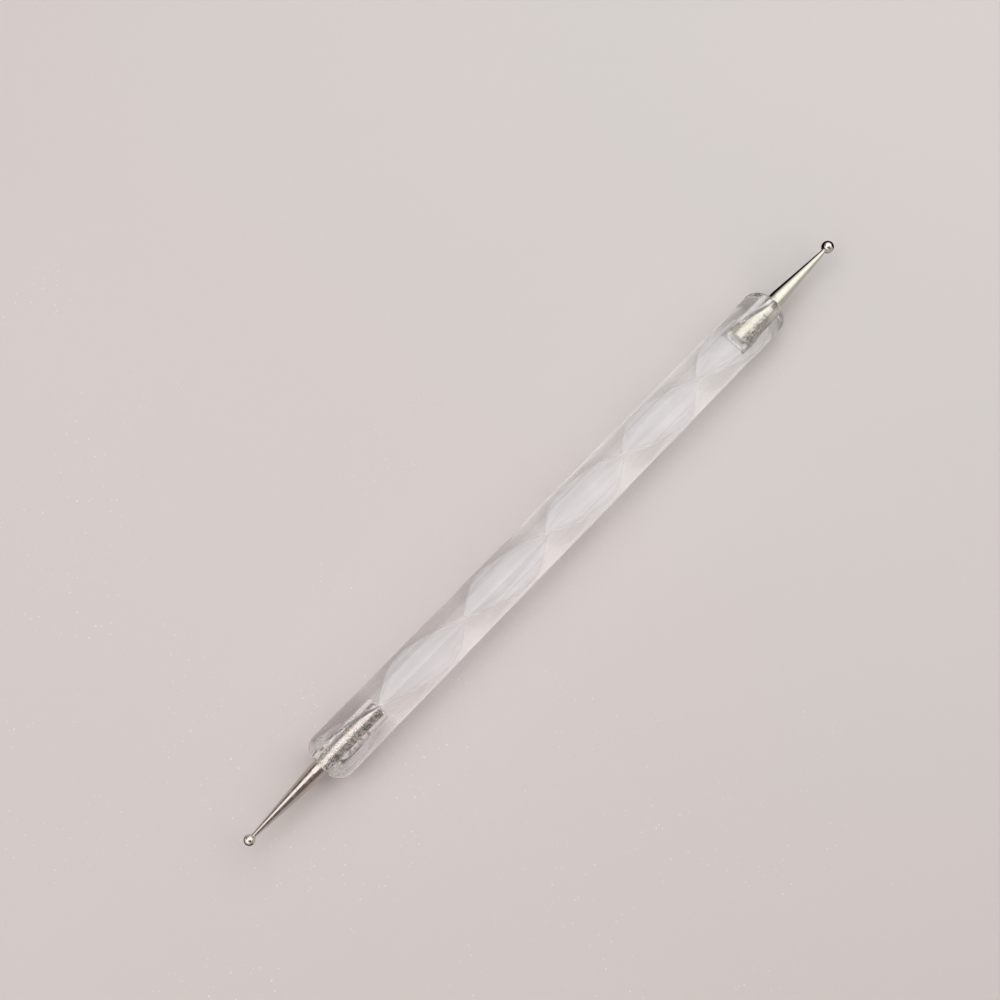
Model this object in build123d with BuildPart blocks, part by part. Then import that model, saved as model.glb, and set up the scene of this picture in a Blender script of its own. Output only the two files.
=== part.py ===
"""Double-ended embossing stylus: a clear rod with a twisted ribbon inside and a ball tip at each end.

All sizes are in millimetres. The rod's axis lies along X, the origin is the middle of the rod on its
axis, and +Z is up. The small ball is at the -X end and the large ball at the +X end.
"""

from build123d import *
import os
from collections import namedtuple
from math import ceil, sqrt

# Clear rod: each end is rounded over, down to a narrow flat ring round the mouth of its bore
rod_diameter = 7.5
rod_length = 98.5
bore_diameter = 2.6
mouth_ring = 0.15

# Twisted ribbon that is cast into the rod
ribbon_width = 4.3
ribbon_thickness = 0.28
ribbon_pitch = 34.4
ribbon_upright_x = -4.0

# Turned stems: a straight shank in the bore, then a long cone down to a thin neck
glue_gap = 0.05
shank_chamfer = 0.2
cone_length = 11.6
neck_diameter = 0.65

# Small end: how far its shank goes in and stands out, and the bore past the shank
small_ball_diameter = 1.6
small_shank_in = 11.3
small_shank_out = 1.2
small_bore_past = 0.2
small_bore_corner = 0.3

# Large end
large_ball_diameter = 2.0
large_shank_in = 8.8
large_shank_out = 1.7
large_bore_past = 1.1
large_bore_corner = 0.9

# Cured glue between each shank and its bore. It forms a bead round the small end's mouth, and at the
# large end it stops short of the mouth on a slant
glue_bead = 0.1
small_glue_length = 8.6
large_glue_slant_start = 0.7
large_glue_slant_length = 6.8

# What cuts run past the surface that they cut
overrun = 2.0

os.makedirs("parts", exist_ok=True)

rod_radius = rod_diameter / 2
rod_half = rod_length / 2
bore_radius = bore_diameter / 2
shank_radius = bore_radius - glue_gap
neck_radius = neck_diameter / 2
nose_round = rod_radius - bore_radius - mouth_ring

End = namedtuple("End", "name side ball_radius shank_in shank_out bore_past bore_corner")

small_end = End(
    name="small_end",
    side=-1,
    ball_radius=small_ball_diameter / 2,
    shank_in=small_shank_in,
    shank_out=small_shank_out,
    bore_past=small_bore_past,
    bore_corner=small_bore_corner,
)
large_end = End(
    name="large_end",
    side=1,
    ball_radius=large_ball_diameter / 2,
    shank_in=large_shank_in,
    shank_out=large_shank_out,
    bore_past=large_bore_past,
    bore_corner=large_bore_corner,
)
ends = (small_end, large_end)


def outward_plane(side):
    """The upright plane through the axis at one end of the rod: x runs outwards and y is the radius."""
    return Plane(origin=(side * rod_half, 0, 0), x_dir=(side, 0, 0), z_dir=(0, -side, 0))


def ball_centre(end):
    """How far outside the rod's end a ball's centre lies, when the ball sits on the neck's rim."""
    return end.shank_out + cone_length + sqrt(end.ball_radius**2 - neck_radius**2)


def add_barrel(mode):
    """Turn the rod's outside, with both ends rounded over."""
    with BuildSketch(Plane.XZ) as barrel:
        Rectangle(rod_length, rod_radius, align=(Align.CENTER, Align.MIN))
        fillet(barrel.vertices().group_by(Axis.Y)[-1], radius=nose_round)
    revolve(barrel.sketch, axis=Axis.X, mode=mode)


def cut_bores():
    """Cut the blind bore of each end, with a rounded corner at its bottom."""
    for end in ends:
        depth = end.shank_in + end.bore_past
        with BuildSketch(outward_plane(end.side)) as bore:
            with BuildLine():
                bottom = Line((-depth, 0), (-depth, bore_radius - end.bore_corner))
                corner = RadiusArc(
                    bottom @ 1,
                    (end.bore_corner - depth, bore_radius),
                    end.bore_corner,
                )
                wall = Line(corner @ 1, (overrun, bore_radius))
                mouth = Line(wall @ 1, (overrun, 0))
                Line(mouth @ 1, bottom @ 0)
            make_face()
        revolve(bore.sketch, axis=Axis.X, mode=Mode.SUBTRACT)


# The ribbon before the rod's ends and bores trim it: a flat strip twisted about the axis, made in
# spans of up to half a turn that run into each other.
strip_half = rod_half + overrun
strip_spans = ceil(4 * strip_half / ribbon_pitch)
span_length = 2 * strip_half / strip_spans

with BuildPart() as strip:
    for span in range(strip_spans):
        start_x = span * span_length - strip_half
        start_turns = (start_x - ribbon_upright_x) / ribbon_pitch
        with BuildLine(mode=Mode.PRIVATE) as span_axis:
            Line((start_x, 0, 0), (start_x + span_length, 0, 0))
        twist = Helix(
            ribbon_pitch,
            span_length,
            ribbon_width,
            center=(start_x, 0, 0),
            direction=(1, 0, 0),
            mode=Mode.PRIVATE,
        )
        across_axis = Plane(origin=(start_x, 0, 0), x_dir=(0, 0, 1), z_dir=(1, 0, 0))
        with BuildSketch(across_axis) as strip_section:
            Rectangle(ribbon_width, ribbon_thickness, rotation=360 * start_turns)
        sweep(strip_section.sketch, path=span_axis.line, binormal=twist, clean=False)

with BuildPart() as swirl_ribbon:
    add(strip.part)
    add_barrel(Mode.INTERSECT)
    cut_bores()
swirl_ribbon.part.label = "swirl_ribbon"
export_step(swirl_ribbon.part, "parts/swirl_ribbon.step")

with BuildPart() as handle_rod:
    add_barrel(Mode.ADD)
    cut_bores()
    add(strip.part, mode=Mode.SUBTRACT)
handle_rod.part.label = "handle_rod"
export_step(handle_rod.part, "parts/handle_rod.step")

for end in ends:
    neck_at = end.shank_out + cone_length
    centre_at = ball_centre(end)

    with BuildPart() as stem:
        with BuildSketch(outward_plane(end.side)):
            with BuildLine():
                turned = Polyline(
                    (-end.shank_in, 0),
                    (-end.shank_in, shank_radius - shank_chamfer),
                    (shank_chamfer - end.shank_in, shank_radius),
                    (end.shank_out, shank_radius),
                    (neck_at, neck_radius),
                )
                seat = RadiusArc(turned @ 1, (centre_at - end.ball_radius, 0), -end.ball_radius)
                Line(seat @ 1, turned @ 0)
            make_face()
        revolve(axis=Axis.X)
    stem.part.label = f"{end.name}_stem"
    export_step(stem.part, f"parts/{stem.part.label}.step")

    with BuildPart() as ball:
        with Locations((end.side * (rod_half + centre_at), 0, 0)):
            Sphere(end.ball_radius)
    ball.part.label = f"{end.name}_ball"
    export_step(ball.part, f"parts/{ball.part.label}.step")

with BuildPart() as small_end_adhesive:
    with BuildSketch(outward_plane(small_end.side)):
        with BuildLine():
            Polyline(
                (-small_glue_length, shank_radius),
                (-small_glue_length, bore_radius),
                (0, bore_radius),
                (0, bore_radius + glue_bead),
                (glue_gap + glue_bead, shank_radius),
                close=True,
            )
        make_face()
    revolve(axis=Axis.X)
small_end_adhesive.part.label = "small_end_adhesive"
export_step(small_end_adhesive.part, "parts/small_end_adhesive.step")

# The slant runs from near the mouth on the -Y side to deep in the bore on the +Y side.
slant_middle = Plane(
    origin=(rod_half - large_glue_slant_start - large_glue_slant_length / 2, 0, 0),
    z_dir=(bore_diameter, large_glue_slant_length, 0),
)

with BuildPart() as large_end_adhesive:
    with BuildSketch(outward_plane(large_end.side)):
        with BuildLine():
            Polyline(
                (-large_shank_in, shank_radius),
                (-large_shank_in, bore_radius),
                (0, bore_radius),
                (0, shank_radius),
                close=True,
            )
        make_face()
    revolve(axis=Axis.X)
    split(bisect_by=slant_middle, keep=Keep.BOTTOM)
large_end_adhesive.part.label = "large_end_adhesive"
export_step(large_end_adhesive.part, "parts/large_end_adhesive.step")
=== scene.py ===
"""The looks of a double-ended embossing stylus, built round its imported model.

Everything is in metres and in the model's own frame: the rod's axis lies along X with the origin at its
middle, the small ball is at the -X end, the large ball at the +X end, and +Z is up.
"""

import logging
import math
import random
from dataclasses import dataclass
from enum import Enum
from typing import Callable, Sequence

import bmesh
import bpy
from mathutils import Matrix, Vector, noise


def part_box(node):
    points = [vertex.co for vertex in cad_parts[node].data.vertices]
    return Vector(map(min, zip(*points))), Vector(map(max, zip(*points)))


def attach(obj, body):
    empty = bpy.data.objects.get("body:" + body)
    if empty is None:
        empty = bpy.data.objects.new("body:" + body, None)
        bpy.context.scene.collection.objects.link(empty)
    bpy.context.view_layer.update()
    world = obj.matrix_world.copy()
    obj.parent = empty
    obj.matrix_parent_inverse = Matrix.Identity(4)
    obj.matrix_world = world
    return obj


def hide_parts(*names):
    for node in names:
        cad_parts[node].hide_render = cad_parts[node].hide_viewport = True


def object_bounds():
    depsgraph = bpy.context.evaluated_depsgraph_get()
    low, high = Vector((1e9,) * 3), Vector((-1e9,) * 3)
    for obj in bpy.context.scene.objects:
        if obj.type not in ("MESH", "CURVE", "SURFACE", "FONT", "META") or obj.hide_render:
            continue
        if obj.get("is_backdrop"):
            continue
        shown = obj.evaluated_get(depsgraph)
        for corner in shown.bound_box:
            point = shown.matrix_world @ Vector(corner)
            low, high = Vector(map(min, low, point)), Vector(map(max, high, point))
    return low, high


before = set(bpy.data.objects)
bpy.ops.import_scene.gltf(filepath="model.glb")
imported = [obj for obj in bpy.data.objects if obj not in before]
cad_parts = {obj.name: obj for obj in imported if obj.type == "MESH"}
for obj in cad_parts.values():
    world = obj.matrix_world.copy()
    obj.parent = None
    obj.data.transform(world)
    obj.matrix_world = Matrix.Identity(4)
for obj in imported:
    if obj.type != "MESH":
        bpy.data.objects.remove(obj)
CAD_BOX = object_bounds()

MM = 0.001
BODY = "root"
log = logging.getLogger("stylus")

Colour = tuple[float, float, float]
Socket = bpy.types.NodeSocket
Tree = bpy.types.NodeTree


class End(Enum):
    """The two ends of the tool, by their names in the model."""

    SMALL = "small_end"
    LARGE = "large_end"

    @property
    def side(self) -> int:
        """-1 at the small ball's end of the X axis and 1 at the large ball's end."""
        return -1 if self is End.SMALL else 1


class Effect(Enum):
    """The surface effects that more than one finish uses, each a shader node group."""

    HAZE = "polish_haze"
    SCRATCHES = "hair_scratches"
    SPECKS = "dust_specks"
    TURNING = "turning_rings"
    PATCHES = "film_patches"


class Slot(Enum):
    """The material slots of the record."""

    CLEAR_ROD = "clear_rod"
    RIBBON = "ribbon"
    STEM = "stem_metal"
    BALL = "ball_metal"
    GLUE = "adhesive"


@dataclass
class Bench:
    """A node tree being wired up."""

    tree: Tree

    def add(self, kind: str, inputs: dict | None = None, **settings) -> bpy.types.Node:
        """Adds one node.

        Args:
            kind: the node's type, without the ShaderNode in front.
            inputs: a value, or a socket to link, for each named or numbered input.
            settings: the node's own properties.

        Returns:
            The new node.
        """
        made = self.tree.nodes.new("ShaderNode" + kind)
        for name, value in settings.items():
            setattr(made, name, value)
        for name, value in (inputs or {}).items():
            if isinstance(value, Socket):
                self.tree.links.new(value, made.inputs[name])
            else:
                made.inputs[name].default_value = value
        return made

    def maths(self, operation: str, *values: float | Socket, clamp: bool = False) -> Socket:
        """A Math node's result.

        Args:
            operation: the node's operation.
            values: its inputs, in order.
            clamp: keeps the result between 0 and 1.

        Returns:
            The output socket.
        """
        made = self.add("Math", dict(enumerate(values)), operation=operation, use_clamp=clamp)
        return made.outputs[0]

    def spread(self, value: Socket, low: float, high: float, to_low: float, to_high: float) -> Socket:
        """Maps a value from one range to another and holds it inside the second.

        Args:
            value: the value to map.
            low: the value that becomes to_low.
            high: the value that becomes to_high.
            to_low: the start of the new range.
            to_high: the end of the new range.

        Returns:
            The mapped value.
        """
        inputs = {"Value": value, "From Min": low, "From Max": high, "To Min": to_low, "To Max": to_high}
        return self.add("MapRange", inputs, clamp=True).outputs["Result"]

    def places(self, scale: Sequence[float] | Socket) -> Socket:
        """Object coordinates, stretched along each axis.

        Args:
            scale: the factors along X, Y and Z.

        Returns:
            The stretched coordinates.
        """
        place = self.add("TexCoord").outputs["Object"]
        return self.add("VectorMath", {0: place, 1: scale}, operation="MULTIPLY").outputs[0]

    def blend(self, share: Socket, start: Colour, end: Colour) -> Socket:
        """A colour between two, by a share.

        Args:
            share: 0 for the first colour and 1 for the second.
            start: the first colour.
            end: the second colour.

        Returns:
            The mixed colour.
        """
        mix = self.add("Mix", {"Factor": share}, data_type="RGBA")
        colours = [s for s in mix.inputs if s.type == "RGBA"]
        colours[0].default_value = (*start, 1)
        colours[1].default_value = (*end, 1)
        return next(s for s in mix.outputs if s.type == "RGBA")

    def cover(self, share: Socket, under: Socket, over: Colour) -> Socket:
        """Lays a plain colour over a changing one.

        Args:
            share: how much of the plain colour shows.
            under: the changing colour.
            over: the plain colour.

        Returns:
            The mixed colour.
        """
        mix = self.add("Mix", {"Factor": share}, data_type="RGBA")
        colours = [socket for socket in mix.inputs if socket.type == "RGBA"]
        self.tree.links.new(under, colours[0])
        colours[1].default_value = (*over, 1)
        return next(socket for socket in mix.outputs if socket.type == "RGBA")


@dataclass
class Effects:
    """The shared effects. Each group is made when a finish first asks for it."""

    def tree(self, effect: Effect, inputs: dict[str, float], outputs: Sequence[str]) -> tuple[Tree, dict]:
        """An empty group with its sockets.

        Args:
            effect: which effect the group is for.
            inputs: the default of each number that the group takes.
            outputs: the names of the values that it gives.

        Returns:
            The group's tree and its inputs by name.
        """
        tree = bpy.data.node_groups.new(effect.value, "ShaderNodeTree")
        for name, value in inputs.items():
            made = tree.interface.new_socket(name, in_out="INPUT", socket_type="NodeSocketFloat")
            made.default_value = value
        for name in outputs:
            tree.interface.new_socket(name, in_out="OUTPUT", socket_type="NodeSocketFloat")
        taken = tree.nodes.new("NodeGroupInput").outputs
        return tree, {name: taken[name] for name in inputs}

    def hand_out(self, tree: Tree, values: dict[str, Socket]) -> None:
        """Wires a group's results to its outputs.

        Args:
            tree: the group.
            values: the socket for each output's name.
        """
        out = tree.nodes.new("NodeGroupOutput")
        for name, value in values.items():
            tree.links.new(value, out.inputs[name])

    def scale(self, bench: Bench, x: Socket, y: Socket, z: Socket) -> Socket:
        """Three numbers as a vector.

        Args:
            bench: the tree to build in.
            x: the number along X.
            y: the number along Y.
            z: the number along Z.

        Returns:
            The vector.
        """
        return bench.add("CombineXYZ", {0: x, 1: y, 2: z}).outputs[0]

    def haze(self) -> Tree:
        """Soft uneven polish: Value wanders between 0 and 1 over features of Size."""
        tree, given = self.tree(Effect.HAZE, {"Size": MM, "Detail": 3.0, "Seed": 0.0}, ["Value"])
        bench = Bench(tree)
        rate = bench.maths("DIVIDE", 1.0, given["Size"])
        inputs = {"Vector": bench.places((1, 1, 1)), "W": given["Seed"], "Scale": rate, "Detail": given["Detail"]}
        noise = bench.add("TexNoise", inputs, noise_dimensions="4D")
        self.hand_out(tree, {"Value": bench.spread(noise.outputs[0], 0.25, 0.75, 0.0, 1.0)})
        return tree

    def scratches(self) -> Tree:
        """Fine handling scratches, mostly along the tool: Mask is 1 in a scratch."""
        tree, given = self.tree(Effect.SCRATCHES, {"Length": 6 * MM, "Width": 0.05 * MM, "Share": 0.1}, ["Mask"])
        bench = Bench(tree)
        along = bench.maths("DIVIDE", 1.0, given["Length"])
        across = bench.maths("DIVIDE", 1.0, given["Width"])
        warp = bench.add("TexNoise", {"Scale": 0.15 / MM, "Detail": 1.0}, noise_dimensions="3D")
        bench.tree.links.new(bench.places((1, 1, 1)), warp.inputs["Vector"])
        lean = bench.add("VectorMath", {0: warp.outputs["Color"], 1: (0.4 * MM,) * 3}, operation="MULTIPLY")
        place = bench.add("VectorMath", {0: bench.places((1, 1, 1)), 1: lean.outputs[0]}, operation="ADD")
        stretch = self.scale(bench, along, across, across)
        drawn = bench.add("VectorMath", {0: place.outputs[0], 1: stretch}, operation="MULTIPLY")
        noise = bench.add("TexNoise", {"Vector": drawn.outputs[0], "Scale": 1.0, "Detail": 2.0})
        least = bench.spread(given["Share"], 0.0, 1.0, 0.78, 0.45)
        depth = bench.maths("SUBTRACT", noise.outputs[0], least)
        self.hand_out(tree, {"Mask": bench.spread(depth, 0.0, 0.04, 0.0, 1.0)})
        return tree

    def specks(self) -> Tree:
        """Dust and tiny pits: Mask is 1 in a speck. Spacing is from cell to cell, and Share of cells hold one."""
        defaults = {"Spacing": MM, "Radius": 0.08, "Share": 0.3}
        tree, given = self.tree(Effect.SPECKS, defaults, ["Mask"])
        bench = Bench(tree)
        rate = bench.maths("DIVIDE", 1.0, given["Spacing"])
        cells = bench.add("TexVoronoi", {"Vector": bench.places((1, 1, 1)), "Scale": rate}, feature="F1")
        chosen = bench.add("SeparateColor", {0: cells.outputs["Color"]})
        here = bench.maths("LESS_THAN", chosen.outputs[0], given["Share"])
        grown = bench.maths("MULTIPLY", given["Radius"], bench.maths("ADD", chosen.outputs[1], 0.4))
        inside = bench.maths("SUBTRACT", grown, cells.outputs["Distance"])
        spot = bench.spread(inside, 0.0, 0.02, 0.0, 1.0)
        self.hand_out(tree, {"Mask": bench.maths("MULTIPLY", here, spot)})
        return tree

    def turning(self) -> Tree:
        """Rings that a lathe tool leaves round the X axis: Height wanders between 0 and 1 along X."""
        tree, given = self.tree(Effect.TURNING, {"Pitch": 0.1 * MM, "Seed": 0.0}, ["Height", "Coarse"])
        bench = Bench(tree)
        along = bench.add("SeparateXYZ", {0: bench.places((1, 1, 1))}).outputs[0]
        turns = bench.maths("ADD", bench.maths("DIVIDE", along, given["Pitch"]), given["Seed"])
        fine = bench.add("TexNoise", {"W": turns, "Scale": 1.0, "Detail": 3.0}, noise_dimensions="1D")
        wide = bench.add("TexNoise", {"W": turns, "Scale": 0.11, "Detail": 1.0}, noise_dimensions="1D")
        values = {"Height": fine.outputs[0], "Coarse": bench.spread(wide.outputs[0], 0.35, 0.65, 0.0, 1.0)}
        self.hand_out(tree, values)
        return tree

    def patches(self) -> Tree:
        """Blotches with broken edges: Mask is 1 inside. Cover is the share that they cover."""
        defaults = {"Size": MM, "Cover": 0.4, "Softness": 0.05, "Seed": 0.0}
        tree, given = self.tree(Effect.PATCHES, defaults, ["Mask"])
        bench = Bench(tree)
        rate = bench.maths("DIVIDE", 1.0, given["Size"])
        inputs = {"Vector": bench.places((1, 1, 1)), "W": given["Seed"], "Scale": rate, "Detail": 6.0}
        noise = bench.add("TexNoise", {**inputs, "Roughness": 0.65}, noise_dimensions="4D")
        least = bench.spread(given["Cover"], 0.0, 1.0, 0.72, 0.28)
        over = bench.maths("SUBTRACT", noise.outputs[0], least)
        self.hand_out(tree, {"Mask": bench.maths("DIVIDE", over, given["Softness"], clamp=True)})
        return tree

    def of(self, effect: Effect) -> Tree:
        """The group for an effect, made once.

        Args:
            effect: which effect.

        Returns:
            The group's tree.
        """
        made = bpy.data.node_groups.get(effect.value)
        if made is not None:
            return made
        makers: dict[Effect, Callable[[], Tree]] = {
            Effect.HAZE: self.haze,
            Effect.SCRATCHES: self.scratches,
            Effect.SPECKS: self.specks,
            Effect.TURNING: self.turning,
            Effect.PATCHES: self.patches,
        }
        return makers[effect]()

    def place(self, bench: Bench, effect: Effect, **values: float) -> dict[str, Socket]:
        """Puts an effect into a material.

        Args:
            bench: the material's tree.
            effect: which effect.
            values: its numbers, by their names in lower case.

        Returns:
            The effect's outputs by name.
        """
        node = bench.tree.nodes.new("ShaderNodeGroup")
        node.node_tree = self.of(effect)
        for name, value in values.items():
            node.inputs[name.capitalize()].default_value = value
        return {s.name: s for s in node.outputs}


EFFECTS = Effects()


@dataclass(frozen=True)
class Finish:
    """What every finish shares: a new material with a Principled shader at its output."""

    name: str

    def start(self) -> tuple[bpy.types.Material, Bench, bpy.types.Node]:
        """A material with only its Principled shader and output.

        Returns:
            The material, its bench and the Principled node.
        """
        material = bpy.data.materials.new(self.name)
        material.use_nodes = True
        tree = material.node_tree
        shader = next(n for n in tree.nodes if n.type == "BSDF_PRINCIPLED")
        return material, Bench(tree), shader

    def set(self, shader: bpy.types.Node, **values) -> None:
        """Sets plain values on the shader's own sockets.

        Args:
            shader: the Principled node.
            values: each value, by its socket's name in lower case with _ for a space.
        """
        sockets = {s.name.lower().replace(" ", "_"): s for s in shader.inputs}
        for name, value in values.items():
            sockets[name].default_value = value

    def relief(self, bench: Bench, shader: bpy.types.Node, height: Socket, depth: float) -> None:
        """Raises the surface by a height.

        Args:
            bench: the material's tree.
            shader: the Principled node.
            height: the height, from 0 to 1.
            depth: what a height of 1 stands for, in metres.
        """
        bump = bench.add("Bump", {"Height": height, "Strength": 1.0, "Distance": depth})
        bench.tree.links.new(bump.outputs[0], shader.inputs["Normal"])


@dataclass(frozen=True)
class ClearAcrylic(Finish):
    """Polished clear acrylic with a soft polish haze, handling scratches and dust."""

    tint: Colour = (0.99, 0.988, 0.986)
    ior: float = 1.49
    clearness: float = 0.95
    scratch_roughness: float = 0.25
    speck_roughness: float = 0.6
    waviness: float = 0.00005 * MM

    def build(self) -> bpy.types.Material:
        """The material.

        Returns:
            The new material.
        """
        material, bench, shader = self.start()
        self.set(shader, base_color=(*self.tint, 1), transmission_weight=self.clearness, ior=self.ior)
        haze = EFFECTS.place(bench, Effect.HAZE, size=2.5 * MM, detail=2.0)["Value"]
        scratch = EFFECTS.place(bench, Effect.SCRATCHES, length=5 * MM, width=0.04 * MM, share=0.08)["Mask"]
        speck = EFFECTS.place(bench, Effect.SPECKS, spacing=1.6 * MM, radius=0.035, share=0.25)["Mask"]
        rough = bench.spread(haze, 0.0, 1.0, 0.0, 0.015)
        rough = bench.maths("ADD", rough, bench.maths("MULTIPLY", scratch, self.scratch_roughness))
        rough = bench.maths("ADD", rough, bench.maths("MULTIPLY", speck, self.speck_roughness), clamp=True)
        bench.tree.links.new(rough, shader.inputs["Roughness"])
        self.relief(bench, shader, haze, self.waviness)
        return material


@dataclass(frozen=True)
class PearlRibbon(Finish):
    """Translucent pearly plastic, drawn out along its length into faint streaks."""

    light: Colour = (0.91, 0.905, 0.95)
    shade: Colour = (0.85, 0.84, 0.88)
    densest: float = 0.34
    clearest: float = 0.24
    scatter: float = 0.4 * MM
    bores_at: tuple[float, float] = (-37.75 * MM, 39.35 * MM)
    beside_bore: tuple[float, float] = (0.45, 0.9)
    fading: float = 2.0 * MM
    width: float = 4.3 * MM
    drilled_at: float = 1.36 * MM
    drilled_band: float = 0.10 * MM
    # Near-black colour laid on the middle of the ribbon where it meets each bore's bottom.
    bore_end_dark: Colour = (0.05, 0.045, 0.04)

    def build(self) -> bpy.types.Material:
        """The material.

        Returns:
            The new material.
        """
        material, bench, shader = self.start()
        self.set(shader, specular_ior_level=0.0, roughness=0.6, subsurface_weight=1.0)
        self.set(shader, subsurface_radius=(1, 1, 1), subsurface_scale=self.scatter)
        flat = bench.add("TexCoord").outputs["UV"]
        drawn = bench.add("VectorMath", {0: flat, 1: (7.0, 5.0, 1.0)}, operation="MULTIPLY").outputs[0]
        streaks = bench.add("TexNoise", {"Vector": drawn, "Scale": 1.0, "Detail": 3.0}, noise_dimensions="2D")
        cloud = EFFECTS.place(bench, Effect.HAZE, size=3 * MM, detail=3.0, seed=4.0)["Value"]
        streak = bench.spread(streaks.outputs[0], 0.3, 0.7, 0.0, 1.0)
        share = bench.maths("MULTIPLY_ADD", cloud, 0.4, bench.maths("MULTIPLY", streak, 0.6))
        speck = EFFECTS.place(bench, Effect.SPECKS, spacing=2.3 * MM, radius=0.03, share=0.2)["Mask"]
        alpha = bench.maths("MAXIMUM", bench.spread(share, 0.0, 1.0, self.densest, self.clearest), speck)
        place = bench.add("SeparateXYZ", {0: bench.places((1, 1, 1))}).outputs[0]
        (left, right), (left_thin, right_thin) = self.bores_at, self.beside_bore
        low = bench.spread(place, left - self.fading, left, left_thin, 1.0)
        high = bench.spread(place, right, right + self.fading, 1.0, right_thin)
        alpha = bench.maths("MULTIPLY", alpha, bench.maths("MULTIPLY", low, high))
        across = bench.maths("SUBTRACT", bench.add("SeparateXYZ", {0: flat}).outputs[1], 0.5)
        across = bench.maths("MULTIPLY", bench.maths("ABSOLUTE", across), self.width)
        # Near-black patches on the middle of the ribbon towards each end, where it meets the bore's bottom.
        bore_end_patches = EFFECTS.place(bench, Effect.PATCHES, size=0.6 * MM, cover=0.75, softness=0.1, seed=6.0)["Mask"]
        drilled = bench.spread(across, self.drilled_at, self.drilled_at + self.drilled_band, 1.0, 0.0)
        inside = bench.maths("ADD", bench.maths("LESS_THAN", place, left), bench.maths("GREATER_THAN", place, right))
        drilled = bench.maths("MULTIPLY", drilled, bench.maths("MULTIPLY", inside, bore_end_patches))
        alpha = bench.maths("MAXIMUM", alpha, drilled)
        pearl = bench.blend(share, self.light, self.shade)
        bench.tree.links.new(bench.cover(drilled, pearl, self.bore_end_dark), shader.inputs["Base Color"])
        bench.tree.links.new(alpha, shader.inputs["Alpha"])
        self.relief(bench, shader, cloud, 0.01 * MM)
        return material


@dataclass(frozen=True)
class TurnedSteel(Finish):
    """Plated steel as it comes off a lathe, with fine rings, stains and wear, and with dark pits inside the bore that
    show real pitting and also serve as painted shade on the shank's flanks.
    """

    bright: Colour
    stained: Colour
    shaded_pits_within: float
    shaded_pits_side: tuple[float, float]
    smoothest: float = 0.08
    roughest: float = 0.25
    pit_size: float = 0.32 * MM
    pit_depth: float = 0.05 * MM
    # Colour of the pits. It is also painted shade on the shank's flanks.
    pit_and_shade_colour: Colour = (0.10, 0.085, 0.075)
    # Painted shade on the flanks starts this far from the shank's middle line as seen from above, and is full from the
    # next distance.
    flank_shade_starts: float = 0.25 * MM
    flank_shade_full: float = 0.6 * MM
    ring_depth: float = 0.002 * MM
    stain: float = 0.3

    def build(self) -> bpy.types.Material:
        """The material.

        Returns:
            The new material.
        """
        material, bench, shader = self.start()
        self.set(shader, metallic=1.0, ior=2.0)
        rings = EFFECTS.place(bench, Effect.TURNING, pitch=0.09 * MM)
        stain = EFFECTS.place(bench, Effect.PATCHES, size=0.9 * MM, cover=self.stain, softness=0.12)["Mask"]
        scratch = EFFECTS.place(bench, Effect.SCRATCHES, length=2 * MM, width=0.03 * MM, share=0.2)["Mask"]
        x, y, _ = bench.add("SeparateXYZ", {0: bench.places((1, 1, 1))}).outputs
        # Painted shade: inside the bore, the pits are laid only on the shank's flanks, to either side of its middle
        # line and on the chosen side. There they show real pitting and also darken the flanks where their reflections
        # are dark.
        inside = bench.maths("LESS_THAN", bench.maths("ABSOLUTE", x), self.shaded_pits_within)
        inside = bench.maths("MULTIPLY", inside, bench.spread(y, *self.shaded_pits_side, 1.0, 0.0))
        shaded_flanks = bench.spread(bench.maths("ABSOLUTE", y), self.flank_shade_starts, self.flank_shade_full, 0.0, 1.0)
        pits = EFFECTS.place(bench, Effect.HAZE, size=self.pit_size, detail=4.0, seed=9.0)["Value"]
        pits_and_painted_shade = bench.maths("MULTIPLY", bench.spread(pits, 0.45, 0.6, 0.0, 1.0), bench.maths("MULTIPLY", inside, shaded_flanks))
        plated = bench.blend(stain, self.bright, self.stained)
        bench.tree.links.new(bench.cover(pits_and_painted_shade, plated, self.pit_and_shade_colour), shader.inputs["Base Color"])
        rough = bench.spread(rings["Coarse"], 0.0, 1.0, self.smoothest, self.roughest)
        rough = bench.maths("MULTIPLY_ADD", stain, 0.12, rough)
        rough = bench.maths("MULTIPLY_ADD", scratch, 0.15, rough, clamp=True)
        bench.tree.links.new(rough, shader.inputs["Roughness"])
        pits = bench.maths("MULTIPLY", bench.maths("MULTIPLY", pits, inside), self.pit_depth / self.ring_depth)
        self.relief(bench, shader, bench.maths("ADD", rings["Height"], pits), self.ring_depth)
        return material


@dataclass(frozen=True)
class PolishedSteel(Finish):
    """A tumbled and polished steel ball with tiny pits and scuffs."""

    bright: Colour = (0.70, 0.67, 0.63)
    dull: Colour = (0.52, 0.48, 0.44)

    def build(self) -> bpy.types.Material:
        """The material.

        Returns:
            The new material.
        """
        material, bench, shader = self.start()
        self.set(shader, metallic=1.0, ior=2.0)
        haze = EFFECTS.place(bench, Effect.HAZE, size=0.5 * MM, detail=4.0, seed=2.0)["Value"]
        pits = EFFECTS.place(bench, Effect.SPECKS, spacing=0.16 * MM, radius=0.12, share=0.25)["Mask"]
        scratch = EFFECTS.place(bench, Effect.SCRATCHES, length=0.8 * MM, width=0.02 * MM, share=0.2)["Mask"]
        bench.tree.links.new(bench.blend(haze, self.bright, self.dull), shader.inputs["Base Color"])
        rough = bench.spread(haze, 0.0, 1.0, 0.05, 0.14)
        rough = bench.maths("MULTIPLY_ADD", scratch, 0.2, rough)
        rough = bench.maths("MULTIPLY_ADD", pits, 0.3, rough, clamp=True)
        bench.tree.links.new(rough, shader.inputs["Roughness"])
        self.relief(bench, shader, bench.maths("SUBTRACT", 1.0, pits), 0.002 * MM)
        return material


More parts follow.
